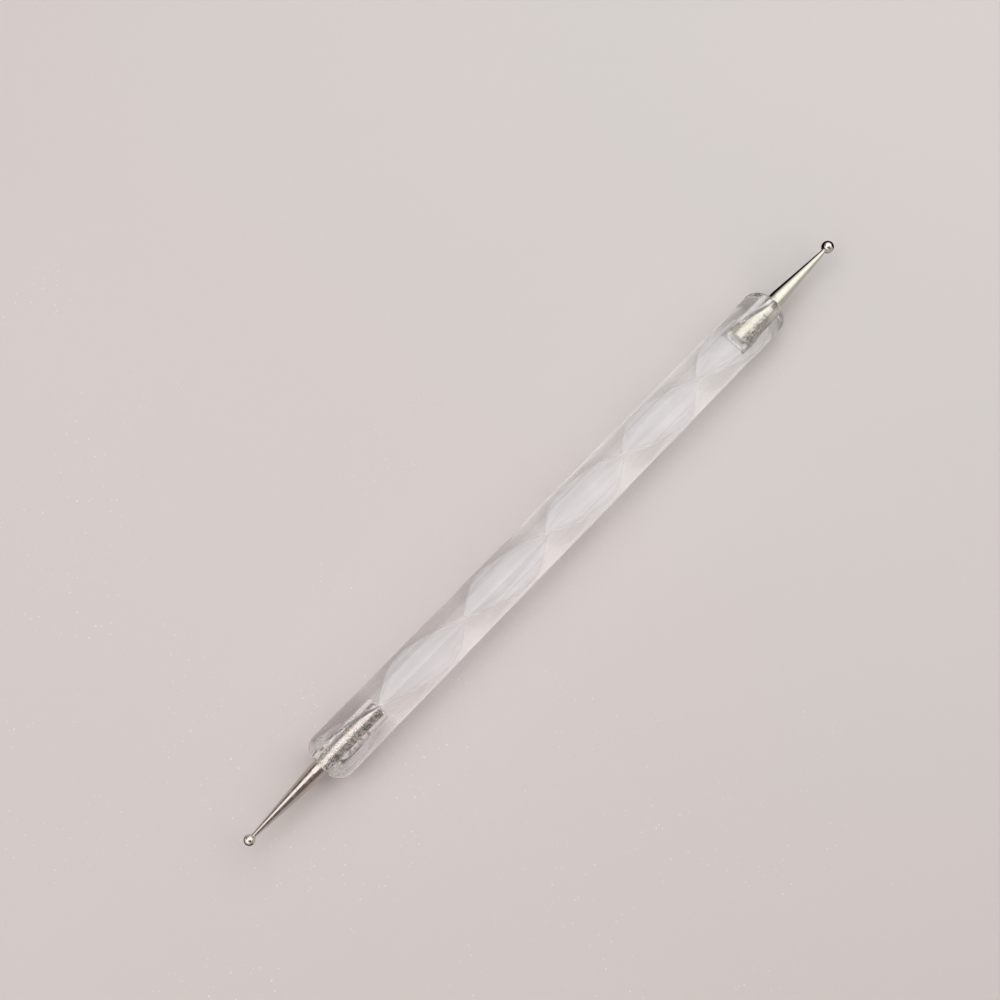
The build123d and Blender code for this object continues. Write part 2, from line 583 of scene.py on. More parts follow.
@dataclass(frozen=True)
class CuredGlue(Finish):
    """Clear glue, slightly yellowed, that wets both the steel and the acrylic."""

    tint: Colour = (0.97, 0.955, 0.90)
    ior: float = 1.49

    def build(self) -> bpy.types.Material:
        """The material.

        Returns:
            The new material.
        """
        material, bench, shader = self.start()
        self.set(shader, transmission_weight=1.0, ior=self.ior)
        cloud = EFFECTS.place(bench, Effect.PATCHES, size=0.7 * MM, cover=0.35, softness=0.2, seed=3.0)["Mask"]
        bubbles = EFFECTS.place(bench, Effect.SPECKS, spacing=0.35 * MM, radius=0.2, share=0.35)["Mask"]
        yellowed = tuple(c * c for c in self.tint)
        bench.tree.links.new(bench.blend(cloud, self.tint, yellowed), shader.inputs["Base Color"])
        rough = bench.spread(cloud, 0.0, 1.0, 0.0, 0.12)
        rough = bench.maths("MULTIPLY_ADD", bubbles, 0.4, rough, clamp=True)
        bench.tree.links.new(rough, shader.inputs["Roughness"])
        self.relief(bench, shader, bubbles, 0.01 * MM)
        return material


@dataclass(frozen=True)
class DriedGlue(Finish):
    """Glue that dried in the open: milky, creamy and full of small bubbles."""

    cream: Colour = (0.84, 0.83, 0.77)
    milky: Colour = (0.93, 0.925, 0.90)

    def build(self) -> bpy.types.Material:
        """The material.

        Returns:
            The new material.
        """
        material, bench, shader = self.start()
        self.set(shader, transmission_weight=0.75, ior=1.49)
        cloud = EFFECTS.place(bench, Effect.HAZE, size=0.4 * MM, detail=4.0, seed=5.0)["Value"]
        bubbles = EFFECTS.place(bench, Effect.SPECKS, spacing=0.25 * MM, radius=0.25, share=0.5)["Mask"]
        bench.tree.links.new(bench.blend(cloud, self.cream, self.milky), shader.inputs["Base Color"])
        rough = bench.maths("MULTIPLY_ADD", bubbles, 0.3, bench.spread(cloud, 0.0, 1.0, 0.1, 0.35), clamp=True)
        bench.tree.links.new(rough, shader.inputs["Roughness"])
        self.relief(bench, shader, cloud, 0.02 * MM)
        return material


@dataclass(frozen=True)
class PaleSheet(Finish):
    """The pale plastic sheet that the tool lies on."""

    warm: Colour = (0.60, 0.547, 0.537)
    cool: Colour = (0.57, 0.547, 0.533)
    sparkle: Colour = (0.86, 0.83, 0.82)
    pale_from: float = -40 * MM
    pale_to: float = 60 * MM
    backdrop: Colour = (0.34, 0.32, 0.31)
    backdrop_at: float = 100 * MM

    def build(self) -> bpy.types.Material:
        """The material.

        Returns:
            The new material.
        """
        material, bench, shader = self.start()
        self.set(shader, specular_ior_level=0.2)
        drift = EFFECTS.place(bench, Effect.HAZE, size=70 * MM, detail=1.0, seed=7.0)["Value"]
        grain = EFFECTS.place(bench, Effect.HAZE, size=0.5 * MM, detail=2.0, seed=1.0)["Value"]
        cloud = EFFECTS.place(bench, Effect.HAZE, size=14 * MM, detail=2.0, seed=3.0)["Value"]
        speck = EFFECTS.place(bench, Effect.SPECKS, spacing=0.6 * MM, radius=0.17, share=0.3)["Mask"]
        speck = bench.maths("MULTIPLY", speck, bench.spread(cloud, 0.4, 0.8, 0.0, 0.6))
        x, _, height = bench.add("SeparateXYZ", {0: bench.places((1, 1, 1))}).outputs
        along = bench.spread(x, self.pale_from, self.pale_to, 0.0, 1.0)
        speck = bench.maths("MULTIPLY", speck, bench.spread(along, 0.0, 0.6, 1.0, 0.15))
        seen = bench.add("LightPath").outputs
        looked_at = bench.maths("MAXIMUM", seen["Is Camera Ray"], seen["Is Glossy Ray"])
        looked_at = bench.maths("MAXIMUM", looked_at, seen["Is Transmission Ray"])
        raised = bench.maths("MULTIPLY", looked_at, bench.spread(height, 0.0, self.backdrop_at, 0.0, 1.0))
        bench.tree.links.new(bench.blend(raised, (0, 0, 0), self.backdrop), shader.inputs["Emission Color"])
        self.set(shader, emission_strength=1.0)
        tone = bench.maths("MULTIPLY_ADD", drift, 0.3, bench.maths("MULTIPLY", along, 0.7))
        sheet = bench.blend(tone, self.warm, self.cool)
        bench.tree.links.new(bench.cover(speck, sheet, self.sparkle), shader.inputs["Base Color"])
        bench.tree.links.new(bench.spread(grain, 0.0, 1.0, 0.45, 0.65), shader.inputs["Roughness"])
        self.relief(bench, shader, grain, 0.01 * MM)
        return material


def piece_of(name: str, points: Sequence[Vector], faces: Sequence[Sequence[int]]) -> bpy.types.Object:
    """A mesh object from points and faces, with its normals turned outwards and its curves smooth.

    Args:
        name: the object's name.
        points: its vertices.
        faces: the vertex numbers of each face.

    Returns:
        The new object, in the scene.
    """
    mesh = bpy.data.meshes.new(name)
    mesh.from_pydata([tuple(p) for p in points], [], [tuple(f) for f in faces])
    work = bmesh.new()
    work.from_mesh(mesh)
    bmesh.ops.remove_doubles(work, verts=work.verts, dist=1e-7)
    bmesh.ops.dissolve_degenerate(work, dist=1e-8, edges=work.edges)
    bmesh.ops.recalc_face_normals(work, faces=work.faces)
    work.to_mesh(mesh)
    work.free()
    mesh.shade_smooth()
    mesh.set_sharp_from_angle(angle=math.radians(35))
    made = bpy.data.objects.new(name, mesh)
    bpy.context.scene.collection.objects.link(made)
    return made


def shell_of(name: str, cells: set[tuple[int, int]], at: Callable[[int, int, int], Vector],
             around: int) -> bpy.types.Object:
    """A closed shell over the cells of a grid, with walls where the cells stop.

    Args:
        name: the object's name.
        cells: the row and column of each cell that is covered.
        at: the corner of the outer (0) or inner (1) side at a row and a column.
        around: the number of columns of a grid that closes on itself, more than it has for one that doesn't.

    Returns:
        The new object, in the scene.
    """
    points: list[Vector] = []
    known: dict[tuple[int, int, int], int] = {}

    def corner(layer: int, i: int, j: int) -> int:
        """The number of a corner, made when it is first asked for."""
        key = (layer, i, j % around)
        if key not in known:
            known[key] = len(points)
            points.append(at(*key))
        return known[key]

    faces = []
    for i, j in sorted(cells):
        ring = [(i, j), (i, j + 1), (i + 1, j + 1), (i + 1, j)]
        outer, inner = ([corner(layer, *place) for place in ring] for layer in (0, 1))
        faces += [outer, inner[::-1]]
        beside = [(i - 1, j), (i, (j + 1) % around), (i + 1, j), (i, (j - 1) % around)]
        for k, cell in enumerate(beside):
            if cell not in cells:
                after = (k + 1) % 4
                faces.append([outer[k], outer[after], inner[after], inner[k]])
    return piece_of(name, points, faces)


@dataclass
class Outline:
    """The section of a turned piece: radii at places along the X axis, in the order that they are drawn."""

    points: list[tuple[float, float]]

    def to(self, x: float, radius: float) -> "Outline":
        """Draws a straight line.

        Args:
            x: the place along the axis.
            radius: the radius there.

        Returns:
            The same outline.
        """
        self.points.append((x, radius))
        return self

    def arc(self, x: float, radius: float, size: float, start: float, stop: float, steps: int = 16) -> "Outline":
        """Draws a round stretch.

        Args:
            x: the arc's centre along the axis.
            radius: the arc's centre above the axis.
            size: the arc's own radius.
            start: the angle it starts at, in degrees from +X.
            stop: the angle it stops at.
            steps: the number of straight pieces.

        Returns:
            The same outline.
        """
        for step in range(steps + 1):
            angle = math.radians(start + (stop - start) * step / steps)
            self.points.append((x + size * math.cos(angle), radius + size * math.sin(angle)))
        return self

    def turn(self, name: str, segments: int, closed: bool = False,
             wobble: Callable[[float, float], float] | None = None) -> bpy.types.Object:
        """Turns the outline about the X axis.

        Args:
            name: the new object's name.
            segments: the number of steps round the axis.
            closed: joins the last point to the first, for a sleeve.
            wobble: what to add to the radius at a place along the axis and an angle.

        Returns:
            The turned piece.
        """
        rings = self.points
        points, faces = [], []
        for x, radius in rings:
            for step in range(segments):
                angle = math.tau * step / segments
                reach = radius + (wobble(x, angle) if wobble and radius > 0 else 0.0)
                points.append(Vector((x, reach * math.cos(angle), reach * math.sin(angle))))
        pairs = list(zip(range(len(rings)), range(1, len(rings))))
        if closed:
            pairs.append((len(rings) - 1, 0))
        for a, b in pairs:
            for step in range(segments):
                after = (step + 1) % segments
                corners = [a * segments + step, a * segments + after, b * segments + after, b * segments + step]
                faces.append(corners)
        return piece_of(name, points, faces)


@dataclass
class Bores:
    """The blind bore of each end: how far it runs past its shank, and the round of its bottom corner."""

    small_past: float = 0.2 * MM
    large_past: float = 1.1 * MM
    small_corner: float = 0.3 * MM
    large_corner: float = 0.9 * MM

    def __post_init__(self) -> None:
        """Reads what the model holds: the glue gives the bore's width, and each shank its place."""
        low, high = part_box("large_end_adhesive")
        self.radius = (high.z - low.z) / 2
        self.rod_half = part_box("handle_rod")[1].x
        self.corners = {End.SMALL: self.small_corner, End.LARGE: self.large_corner}
        self.bottoms = {
            End.SMALL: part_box("small_end_stem")[1].x + self.small_past,
            End.LARGE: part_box("large_end_stem")[0].x - self.large_past,
        }


@dataclass
class ClearRod:
    """The clear rod, with a rounded nose and a blind bore at each end."""

    bores: Bores
    mouth_ring: float = 0.15 * MM
    segments: int = 160

    def nose(self, outline: Outline, end: End, radius: float) -> None:
        """Draws one end from its bore's bottom out to the barrel.

        Args:
            outline: the rod's outline so far.
            end: which end.
            radius: the barrel's radius.
        """
        side, half = end.side, self.bores.rod_half
        bottom, corner = self.bores.bottoms[end], self.bores.corners[end]
        blend = radius - self.bores.radius - self.mouth_ring
        drawn = Outline([]).to(bottom, 0.0)
        centre = bottom + side * corner
        drawn.arc(centre, self.bores.radius - corner, corner, 180 if side > 0 else 0, 90, 10)
        drawn.to(side * half, self.bores.radius)
        drawn.arc(side * (half - blend), radius - blend, blend, 0 if side > 0 else 180, 90, 28)
        outline.points += drawn.points if side < 0 else drawn.points[::-1]

    def build(self) -> bpy.types.Object:
        """Makes the rod.

        Returns:
            The finished piece.
        """
        low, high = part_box("handle_rod")
        radius = (high.z - low.z) / 2
        outline = Outline([])
        self.nose(outline, End.SMALL, radius)
        self.nose(outline, End.LARGE, radius)
        made = outline.turn("clear_rod", self.segments)
        made.data.materials.append(ClearAcrylic("clear_acrylic").build())
        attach(made, BODY)
        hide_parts("handle_rod")
        return made


@dataclass
class SwirlRibbon:
    """The twisted ribbon inside the rod. It runs past the bores as a strip on each side."""

    bores: Bores
    width: float = 4.3 * MM
    thickness: float = 0.28 * MM
    pitch: float = 34.4 * MM
    upright: float = -4.0 * MM
    clearance: float = 0.04 * MM
    ripple: float = 0.035 * MM
    stations: int = 720
    seed: int = 5

    def waves(self, chance: random.Random, count: int) -> Callable[[float], float]:
        """A gentle uneven wave along the rod, between about -1 and 1.

        Args:
            chance: the source of its lengths and starts.
            count: how many waves are added together.

        Returns:
            The wave as a function of the place along the axis.
        """
        parts = [(chance.uniform(4, 16) * MM, chance.uniform(0, math.tau)) for _ in range(count)]
        return lambda x: sum(math.sin(math.tau * x / length + start) for length, start in parts) / count

    def columns(self) -> list[float]:
        """Where the ribbon's lines lie across it, as distances from its middle line on one side."""
        half, rim = self.width / 2, self.thickness / 2
        wall = self.bores.radius + self.clearance
        outer = [half - rim * (1 - math.cos(math.pi / 2 * k / 5)) for k in range(6)]
        inner = [wall + rim * (1 - math.cos(math.pi / 2 * k / 5)) for k in range(6)]
        middle = [wall * k / 8 for k in range(8)]
        return sorted(set(middle + inner + outer))

    def rows(self) -> list[float]:
        """Where the ribbon's lines lie along the rod, closer together at the bores' bottoms and the ends."""
        rim = self.thickness / 2
        reach = self.bores.rod_half - self.mouth_inset()
        cuts = [-reach, reach, *(self.bores.bottoms[e] - e.side * self.clearance for e in End)]
        close = [c + s * rim * (1 - math.cos(math.pi / 2 * k / 5)) for c in cuts for k in range(6) for s in (-1, 1)]
        even = [-reach + 2 * reach * k / self.stations for k in range(self.stations + 1)]
        return sorted(x for x in {round(x, 8) for x in close + even} if -reach <= x <= reach)

    def mouth_inset(self) -> float:
        """How far the strips stop short of the rod's end faces."""
        return 0.2 * MM

    def depth(self, x: float, across: float) -> float:
        """How far a place lies inside the ribbon's outline.

        Args:
            x: the place along the axis.
            across: its distance from the middle line.

        Returns:
            The distance to the nearest edge, negative outside.
        """
        reach = self.bores.rod_half - self.mouth_inset()
        edge = min(self.width / 2 - across, reach - abs(x))
        end = End.SMALL if x < 0 else End.LARGE
        past = (x - self.bores.bottoms[end]) * end.side + self.clearance
        wall = across - self.bores.radius - self.clearance
        return min(edge, max(wall, -past))

    def build(self) -> bpy.types.Object:
        """Makes the ribbon.

        Returns:
            The finished piece.
        """
        chance = random.Random(self.seed)
        sway, swell, twist = (self.waves(chance, 4) for _ in range(3))
        half_columns = self.columns()
        columns = [-c for c in half_columns[:0:-1]] + half_columns
        rows, rim = self.rows(), self.thickness / 2
        points, faces = [], []
        for x in rows:
            turn = math.tau * (x - self.upright) / self.pitch + 0.03 * twist(x)
            along = Vector((0, -math.sin(turn), math.cos(turn)))
            out = Vector((0, math.cos(turn), math.sin(turn)))
            for across in columns:
                inside = min(max(self.depth(x, abs(across)), 0.0), rim)
                thick = math.sqrt(max(rim**2 - (rim - inside) ** 2, 0.0))
                share = 1 - self.ripple * (1 + swell(x)) / self.width
                middle = Vector((x, 0, 0)) + along * (across * share) + out * (self.ripple * sway(x))
                points += [middle + out * thick, middle - out * thick]
        step = len(columns)
        for i in range(len(rows) - 1):
            for j in range(step - 1):
                corners = [i * step + j, i * step + j + 1, (i + 1) * step + j + 1, (i + 1) * step + j]
                middle_x = (rows[i] + rows[i + 1]) / 2
                middle_across = abs(columns[j] + columns[j + 1]) / 2
                if self.depth(middle_x, middle_across) > 0:
                    faces += [[2 * c for c in corners], [2 * c + 1 for c in reversed(corners)]]
        used = sorted({v for f in faces for v in f})
        order = {v: n for n, v in enumerate(used)}
        made = piece_of("pearl_ribbon", [points[v] for v in used], [[order[v] for v in f] for f in faces])
        self.lay_flat(made)
        made.data.materials.append(PearlRibbon("pearl_ribbon").build())
        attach(made, BODY)
        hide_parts("swirl_ribbon")
        return made

    def lay_flat(self, made: bpy.types.Object) -> None:
        """Gives the ribbon a UV map: along its length, and across its width.

        Args:
            made: the ribbon.
        """
        layer = made.data.uv_layers.new(name="along_and_across")
        for loop in made.data.loops:
            place = made.data.vertices[loop.vertex_index].co
            turn = math.tau * (place.x - self.upright) / self.pitch
            across = place.z * math.cos(turn) - place.y * math.sin(turn)
            layer.data[loop.index].uv = (place.x / (2 * self.bores.rod_half) + 0.5, across / self.width + 0.5)


@dataclass
class Tip:
    """One metal end: its turned stem, the weld at the neck and the ball."""

    end: End
    chamfer: float = 0.2 * MM
    shoulder: float = 0.25 * MM
    segments: int = 96
    weld_reach: float = 0.16 * MM
    weld_swell: float = 0.07 * MM

    def __post_init__(self) -> None:
        """Reads the sizes of the stem and the ball from the model."""
        side = self.end.side
        low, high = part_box(f"{self.end.value}_stem")
        self.inner, tip = (low.x, high.x) if side > 0 else (high.x, low.x)
        self.shank = (high.z - low.z) / 2
        low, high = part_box(f"{self.end.value}_ball")
        self.ball = (high.z - low.z) / 2
        self.centre = (low.x + high.x) / 2
        stem = [v.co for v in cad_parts[f"{self.end.value}_stem"].data.vertices]
        self.neck_at = tip
        self.neck = max(math.hypot(p.y, p.z) for p in stem if abs(p.x - tip) < 0.01 * MM)
        full = [p.x * side for p in stem if math.hypot(p.y, p.z) > self.shank * 0.999]
        self.cone_at = side * max(full)

    def stem(self) -> bpy.types.Object:
        """Makes the stem.

        Returns:
            The finished piece.
        """
        side = self.end.side
        outline = Outline([]).to(self.inner, 0.0).to(self.inner, self.shank - self.chamfer)
        outline.to(self.inner + side * self.chamfer, self.shank)
        slope = (self.neck - self.shank) / abs(self.neck_at - self.cone_at)
        steps = 8
        outline.to(self.cone_at - side * self.shoulder, self.shank)
        for step in range(1, steps + 1):
            share = step / steps
            x = self.cone_at + side * self.shoulder * (2 * share - 1)
            outline.to(x, self.shank + slope * self.shoulder * share**2)
        outline.to(self.neck_at, self.neck)
        outline.to(self.neck_at, 0.0)
        made = outline.turn(f"{self.end.value}_turned_stem", self.segments)
        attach(made, BODY)
        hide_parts(f"{self.end.value}_stem")
        return made

    def weld(self) -> bpy.types.Object:
        """Makes the small ring of weld between neck and ball.

        Returns:
            The finished piece.
        """
        side = self.end.side
        chance = random.Random(self.end.value)
        start = chance.uniform(0, math.tau)
        outline = Outline([])
        steps = 10
        for step in range(steps + 1):
            share = step / steps
            x = self.neck_at + side * self.weld_reach * (2 * share - 1)
            outline.to(x, self.neck * 0.98 + self.weld_swell * math.sin(math.pi * share) ** 0.7)
        outline.to(self.neck_at + side * self.weld_reach, self.neck * 0.5)
        outline.to(self.neck_at - side * self.weld_reach, self.neck * 0.5)

        def lumps(x: float, angle: float) -> float:
            """The weld's unevenness round the neck."""
            return 0.015 * MM * math.sin(3 * angle + start) * math.sin(5 * angle + 2 * start)

        made = outline.turn(f"{self.end.value}_weld", self.segments, closed=True, wobble=lumps)
        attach(made, BODY)
        return made

    def globe(self) -> bpy.types.Object:
        """Makes the ball, very slightly worn flat where it presses.

        Returns:
            The finished piece.
        """
        steps = 48
        outline = Outline([])
        for step in range(steps + 1):
            angle = math.pi * step / steps
            worn = 1 - 0.004 * max(0.0, math.cos(angle)) ** 8
            x = self.centre + self.end.side * self.ball * math.cos(angle) * worn
            outline.to(x, self.ball * math.sin(angle) if 0 < step < steps else 0.0)
        made = outline.turn(f"{self.end.value}_polished_ball", self.segments)
        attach(made, BODY)
        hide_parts(f"{self.end.value}_ball")
        return made

    def build(self, steel: bpy.types.Material, polished: bpy.types.Material) -> list[bpy.types.Object]:
        """Makes the whole tip.

        Args:
            steel: the material of the stem and the weld.
            polished: the material of the ball.

        Returns:
            The finished pieces.
        """
        stem, weld, ball = self.stem(), self.weld(), self.globe()
        stem.data.materials.append(steel)
        weld.data.materials.append(steel)
        ball.data.materials.append(polished)
        return [stem, weld, ball]


@dataclass
class GlueFilm:
    """Cured glue between a shank and its bore, in patches with broken edges."""

    end: End
    bores: Bores
    shank: float
    bite: float = 0.01 * MM
    step_along: float = 0.06 * MM
    steps_round: int = 132
    seed: int = 11
    grain: float = 0.45 * MM
    rough: float = 0.6
    sparse: float = 0.22

    def covered(self, x: float, angle: float) -> bool:
        """True where the glue fills the gap.

        Args:
            x: the place along the axis.
            angle: the angle round the axis, from +Y towards +Z.

        Returns:
            Whether there is glue.
        """
        inwards = self.bores.rod_half - abs(x)
        ragged = self.ragged(x, angle)
        if self.end is End.SMALL:
            return inwards < (1.1 + 0.5 * ragged) * MM or ragged > self.sparse
        slant = (4.1 + 3.4 * math.cos(angle)) * MM
        return inwards > slant + 0.35 * MM * ragged

    def ragged(self, x: float, angle: float) -> float:
        """An uneven value that wanders over the film, from about -1 to 1.

        Args:
            x: the place along the axis.
            angle: the angle round the axis.

        Returns:
            The value.
        """
        place = Vector((x, self.shank * math.cos(angle), self.shank * math.sin(angle)))
        shift = Vector((self.end.side * self.seed, self.seed, 0))
        return noise.fractal(place / self.grain + shift, self.rough, 2.0, 5)

    def build(self, glue: bpy.types.Material) -> bpy.types.Object:
        """Makes the film.

        Args:
            glue: its material.

        Returns:
            The finished piece.
        """
        low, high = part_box(f"{self.end.value}_adhesive")
        start, stop = max(low.x, -self.bores.rod_half), min(high.x, self.bores.rod_half)
        rows = round((stop - start) / self.step_along)
        place = [start + (stop - start) * i / rows for i in range(rows + 1)]
        turns = [math.tau * j / self.steps_round for j in range(self.steps_round)]
        radii = (self.bores.radius + self.bite, self.shank - self.bite)
        cells = {
            (i, j)
            for i in range(rows)
            for j in range(self.steps_round)
            if self.covered((place[i] + place[i + 1]) / 2, turns[j] + math.pi / self.steps_round)
        }

        def at(layer: int, i: int, j: int) -> Vector:
            """A corner of the film on the bore's side or the shank's."""
            return Vector((place[i], radii[layer] * math.cos(turns[j]), radii[layer] * math.sin(turns[j])))

        made = shell_of(f"{self.end.value}_glue_film", cells, at, self.steps_round)
        made.data.materials.append(glue)
        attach(made, BODY)
        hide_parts(f"{self.end.value}_adhesive")
        return made


@dataclass
class GlueSmear:
    """A thin lump of dried glue on the rounded nose of the rod."""

    name: str
    end: End
    bores: Bores
    inwards: float
    angle: float
    half_length: float
    half_width: float
    height: float
    mouth_ring: float = 0.15 * MM
    bite: float = 0.01 * MM
    grain: float = 0.5 * MM
    steps: int = 44

    def __post_init__(self) -> None:
        """Reads the barrel's radius from the model once, and works out how far the nose is rounded."""
        low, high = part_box("handle_rod")
        self.radius = (high.z - low.z) / 2
        self.blend = self.radius - self.bores.radius - self.mouth_ring

    def surface(self, x: float) -> float:
        """The rod's radius at a place along the axis, on the rounded nose or the barrel."""
        left = max(self.blend - (self.bores.rod_half - abs(x)), 0.0)
        return self.radius - self.blend + math.sqrt(max(self.blend**2 - left**2, 0.0))

    def place(self, u: float, v: float) -> tuple[float, float]:
        """The place along the axis and the angle round it, for a place from -1 to 1 across the lump.

        Args:
            u: the place along the lump.
            v: the place round it.

        Returns:
            The place along the axis, and the angle from +Y towards +Z in radians.
        """
        inwards = max(self.inwards + u * self.half_length, 0.02 * MM)
        x = self.end.side * (self.bores.rod_half - inwards)
        return x, math.radians(self.angle) + v * self.half_width / self.surface(x)

    def swell(self, u: float, v: float) -> float:
        """How far the lump stands up at a place, from below 0 outside it to 1.

        Args:
            u: the place along the lump.
            v: the place round it.

        Returns:
            The share of its height.
        """
        x, angle = self.place(u, v)
        spot = Vector((x, 3 * MM * math.cos(angle), 3 * MM * math.sin(angle)))
        return 1 - (u * u + v * v) ** 0.5 + 0.55 * noise.fractal(spot / self.grain, 0.6, 2.0, 4)

    def build(self, glue: bpy.types.Material) -> bpy.types.Object:
        """Makes the lump.

        Args:
            glue: its material.

        Returns:
            The finished piece.
        """
        share = [2 * k / self.steps - 1 for k in range(self.steps + 1)]
        half = 1 / self.steps
        cells = {
            (i, j)
            for i in range(self.steps)
            for j in range(self.steps)
            if self.swell(share[i] + half, share[j] + half) > 0
        }

        def at(layer: int, i: int, j: int) -> Vector:
            """A corner on top of the lump, or just inside the rod."""
            x, angle = self.place(share[i], share[j])
            risen = max(self.swell(share[i], share[j]), 0.05) ** 0.5 * self.height
            reach = self.surface(x) + (risen if layer == 0 else -self.bite)
            return Vector((x, reach * math.cos(angle), reach * math.sin(angle)))

        made = shell_of(self.name, cells, at, 2 * self.steps)
        made.data.materials.append(glue)
        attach(made, BODY)
        return made


@dataclass(frozen=True)
class BlackFelt(Finish):
    """Dull black felt."""

    nap: Colour = (0.012, 0.011, 0.010)
    lint: Colour = (0.035, 0.032, 0.030)

    def build(self) -> bpy.types.Material:
        """The material.

        Returns:
            The new material.
        """
        material, bench, shader = self.start()
        self.set(shader, specular_ior_level=0.0, roughness=1.0)
        fibres = EFFECTS.place(bench, Effect.SCRATCHES, length=0.6 * MM, width=0.08 * MM, share=0.5)["Mask"]
        bench.tree.links.new(bench.blend(fibres, self.nap, self.lint), shader.inputs["Base Color"])
        self.relief(bench, shader, fibres, 0.02 * MM)
        return material


@dataclass
class DarkCard:
    """A bent black card beside a tip. Only reflections see it: it shapes the metal's shine."""

    name: str
    middle: float
    near: float
    far: float
    top: float
    start: float
    stop: float
    foot: float = -3.7 * MM
    steps: int = 60

    def build(self) -> bpy.types.Object:
        """Makes the card.

        Returns:
            The card.
        """
        section = [(self.near, self.foot), (self.far - 1 * MM, self.foot)]
        section += [(self.far, self.foot + 1 * MM), (self.far, self.top)]
        points, faces = [], []
        for step in range(self.steps + 1):
            angle = math.radians(self.start + (self.stop - self.start) * step / self.steps)
            for reach, height in section:
                points.append(Vector((self.middle + reach * math.cos(angle), reach * math.sin(angle), height)))
        wide = len(section)
        for step in range(self.steps):
            for k in range(wide - 1):
                a, b = step * wide + k, (step + 1) * wide + k
                faces.append([a, a + 1, b + 1, b])
        made = piece_of(self.name, points, faces)
        made.data.materials.append(BlackFelt("black_felt").build())
        made.visible_camera = made.visible_diffuse = made.visible_transmission = False
        made.visible_shadow = made.visible_volume_scatter = False
        made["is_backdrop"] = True
        return made


@dataclass(frozen=True)
class SoftPanel:
    """A soft studio light: a glowing rectangle that faces down at the tool."""

    name: str
    centre: Colour
    width: float
    depth: float
    glow: float
    colour: Colour = (1.0, 1.0, 1.0)

    def build(self) -> bpy.types.Object:
        """Makes the light.

        Returns:
            The light.
        """
        lamp = bpy.data.lights.new(self.name, "AREA")
        lamp.shape = "RECTANGLE"
        lamp.size, lamp.size_y = self.width, self.depth
        lamp.energy = self.glow * math.pi * self.width * self.depth
        lamp.color = self.colour
        made = bpy.data.objects.new(self.name, lamp)
        made.location = self.centre
        made.visible_camera = False
        bpy.context.scene.collection.objects.link(made)
        return made


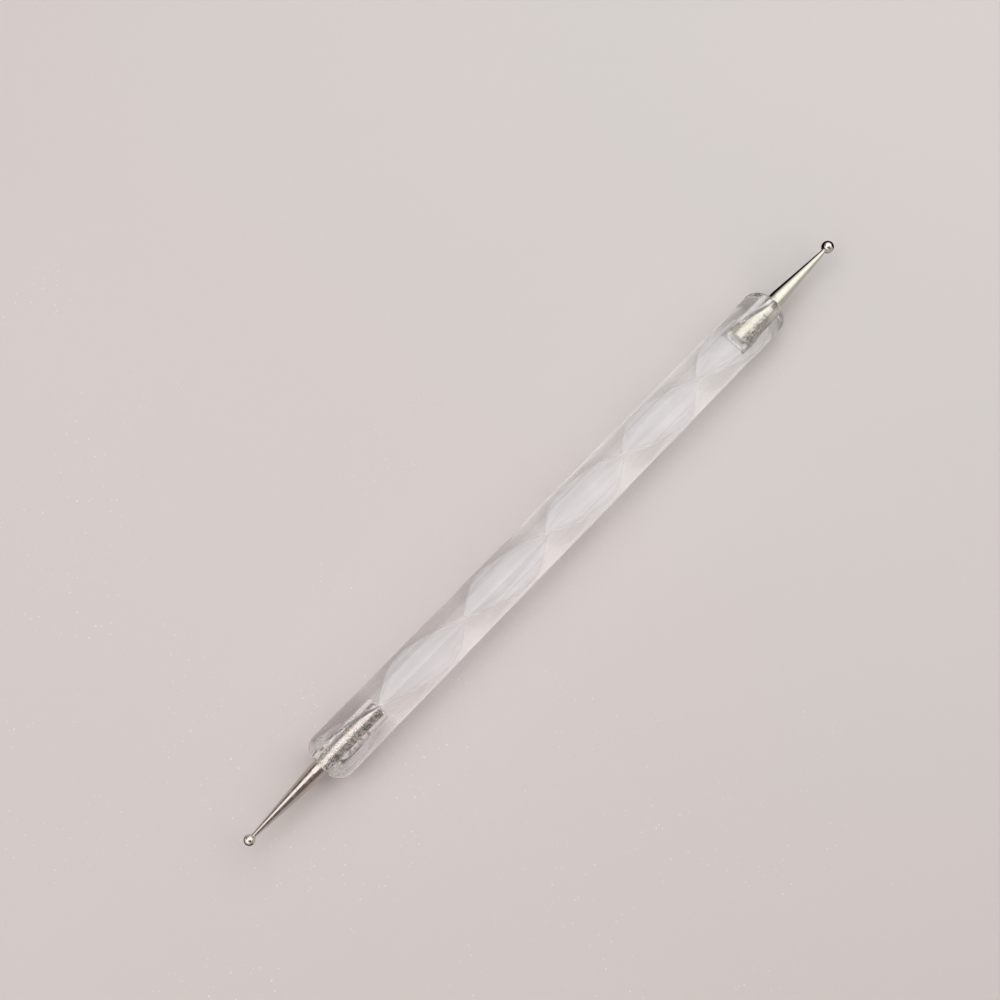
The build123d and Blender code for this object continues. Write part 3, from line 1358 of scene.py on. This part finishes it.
@dataclass
class Studio:
    """The floor with its upturned rim, the lights, the world and the camera."""

    floor_radius: float = 0.9
    rim_height: float = 0.34
    rim_round: float = 0.12
    camera_at: Colour = (-43.34 * MM, -28.92 * MM, 170.92 * MM)
    camera_aim: Colour = (-2.74 * MM, 9.61 * MM, -3.75 * MM)
    lens: float = 43.18
    film: float = 36.0
    turns_in_glass: int = 32
    ceiling: float = 0.34
    panels: tuple[tuple[str, tuple[float, float, float, float], float], ...] = (
        ("over_large_end", (0.08, 0.90, -0.27, 0.22), 1.5),
        ("over_shank", (-0.10, 0.08, -0.10, 0.36), 1.5),
        ("over_small_end", (-0.32, -0.10, -0.03, 0.25), 1.5),
        ("far_small_end", (-0.90, -0.32, -0.27, 0.22), 1.5),
        ("front_large_end", (0.08, 0.90, -0.70, -0.27), 1.1),
        ("front_small_end", (-0.90, -0.32, -0.70, -0.27), 1.1),
        ("back_small_end", (-0.90, -0.32, 0.22, 0.70), 1.0),
        ("back_large_end", (0.08, 0.90, 0.22, 0.55), 1.0),
    )
    room: Colour = (0.20, 0.175, 0.16)

    def floor(self) -> bpy.types.Object:
        """Makes the pale sheet, which curves up into a backdrop all round.

        Returns:
            The floor.
        """
        low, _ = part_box("handle_rod")
        level = low.z - 0.002 * MM
        steps, segments = 16, 128
        outline = [(0.0, level), (self.floor_radius * 0.5, level), (self.floor_radius, level)]
        for step in range(1, steps + 1):
            angle = math.pi / 2 * step / steps
            outline.append((
                self.floor_radius + self.rim_round * math.sin(angle),
                level + self.rim_round * (1 - math.cos(angle)),
            ))
        outline.append((self.floor_radius + self.rim_round, level + self.rim_height))
        points, faces = [], []
        for reach, height in outline:
            for step in range(segments):
                angle = math.tau * step / segments
                points.append(Vector((reach * math.cos(angle), reach * math.sin(angle), height)))
        for ring in range(len(outline) - 1):
            for step in range(segments):
                after = (step + 1) % segments
                a, b = ring * segments, (ring + 1) * segments
                faces.append([a + step, b + step, b + after, a + after])
        mesh = bpy.data.meshes.new("pale_floor")
        mesh.from_pydata([tuple(p) for p in points], [], faces)
        work = bmesh.new()
        work.from_mesh(mesh)
        bmesh.ops.remove_doubles(work, verts=work.verts, dist=1e-7)
        work.to_mesh(mesh)
        work.free()
        mesh.shade_smooth()
        made = bpy.data.objects.new("pale_floor", mesh)
        bpy.context.scene.collection.objects.link(made)
        made.data.materials.append(PaleSheet("pale_sheet").build())
        made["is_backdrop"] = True
        return made

    def lights(self) -> None:
        """Makes the lights and the dim room round them."""
        for name, (left, right, front, back), glow in self.panels:
            middle = ((left + right) / 2, (front + back) / 2, self.ceiling)
            SoftPanel(name, middle, right - left, back - front, glow).build()
        world = bpy.data.worlds.new("room")
        bpy.context.scene.world = world
        world.use_nodes = True
        world.node_tree.nodes["Background"].inputs["Color"].default_value = (*self.room, 1)

    def camera(self) -> bpy.types.Object:
        """Makes the camera at the photograph's viewing angle.

        Returns:
            The camera.
        """
        data = bpy.data.cameras.new("camera")
        data.lens, data.sensor_width = self.lens, self.film
        data.sensor_fit = "HORIZONTAL"
        data.clip_start = MM
        made = bpy.data.objects.new("camera", data)
        made.location = self.camera_at
        aim = Vector(self.camera_aim) - Vector(self.camera_at)
        made.rotation_euler = aim.to_track_quat("-Z", "Y").to_euler()
        bpy.context.scene.collection.objects.link(made)
        bpy.context.scene.camera = made
        return made

    def light_paths(self) -> None:
        """Lets light run on inside the clear rod, which guides it from end to end."""
        paths = bpy.context.scene.cycles
        paths.max_bounces = paths.transmission_bounces = paths.glossy_bounces = self.turns_in_glass
        paths.transparent_max_bounces = 2 * self.turns_in_glass
        paths.blur_glossy = 0.0

    def build(self) -> None:
        """Makes the whole studio."""
        self.light_paths()
        self.floor()
        DarkCard("card_by_large_end", 57.5 * MM, 2.2 * MM, 10.0 * MM, 3.4 * MM, -25.0, 155.0).build()
        DarkCard("card_by_small_ball", -62.8 * MM, 1.0 * MM, 6.0 * MM, -1.0 * MM, 95.0, 265.0).build()
        self.lights()
        self.camera()
        bpy.context.scene.view_settings.view_transform = "Standard"


SMEARS = (
    ("smear_over_small_end", End.SMALL, 2.2, 60.0, 1.0, 0.75, 0.11),
    ("smear_under_small_end", End.SMALL, 1.3, 134.0, 1.3, 1.0, 0.09),
    # Painted highlight: the pale glue lump over the large end's nose stands in for a small glint on its upper
    # shoulder.
    ("smear_over_large_end", End.LARGE, 2.7, 34.0, 0.6, 0.3, 0.07),
)


def report(made: bpy.types.Object) -> None:
    """Logs one finished piece.

    Args:
        made: the piece.
    """
    log.info("%s: %d faces", made.name, len(made.data.polygons))


def write_sizes() -> None:
    """Works out the model's box before and after dressing, in metres, but does not write it anywhere."""
    boxes = {"cad": CAD_BOX, "visual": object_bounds()}
    plain = {name: [[float(c) for c in corner] for corner in box] for name, box in boxes.items()}


def main() -> None:
    """Builds the studio and the tool, piece by piece."""
    logging.basicConfig(level=logging.INFO, format="%(name)s: %(message)s")
    Studio().build()
    bores = Bores()
    report(ClearRod(bores).build())
    report(SwirlRibbon(bores).build())
    polished = PolishedSteel("polished_steel").build()
    steels = {
        End.SMALL: TurnedSteel(
            "brown_turned_steel", (0.57, 0.51, 0.48), (0.33, 0.28, 0.25), 48.4 * MM, (1.3 * MM, 1.4 * MM)
        ).build(),
        End.LARGE: TurnedSteel(
            "pale_turned_steel", (0.58, 0.565, 0.50), (0.36, 0.34, 0.285), 46.5 * MM, (-0.5 * MM, 0.1 * MM)
        ).build(),
    }
    glue = CuredGlue("cured_glue").build()
    for end in End:
        tip = Tip(end)
        for made in tip.build(steels[end], polished):
            report(made)
        report(GlueFilm(end, bores, tip.shank).build(glue))
    dried = DriedGlue("dried_glue").build()
    for name, end, inwards, angle, length, width, height in SMEARS:
        report(GlueSmear(name, end, bores, inwards * MM, angle, length * MM, width * MM, height * MM).build(dried))
    write_sizes()


if __name__ == "__main__":
    main()
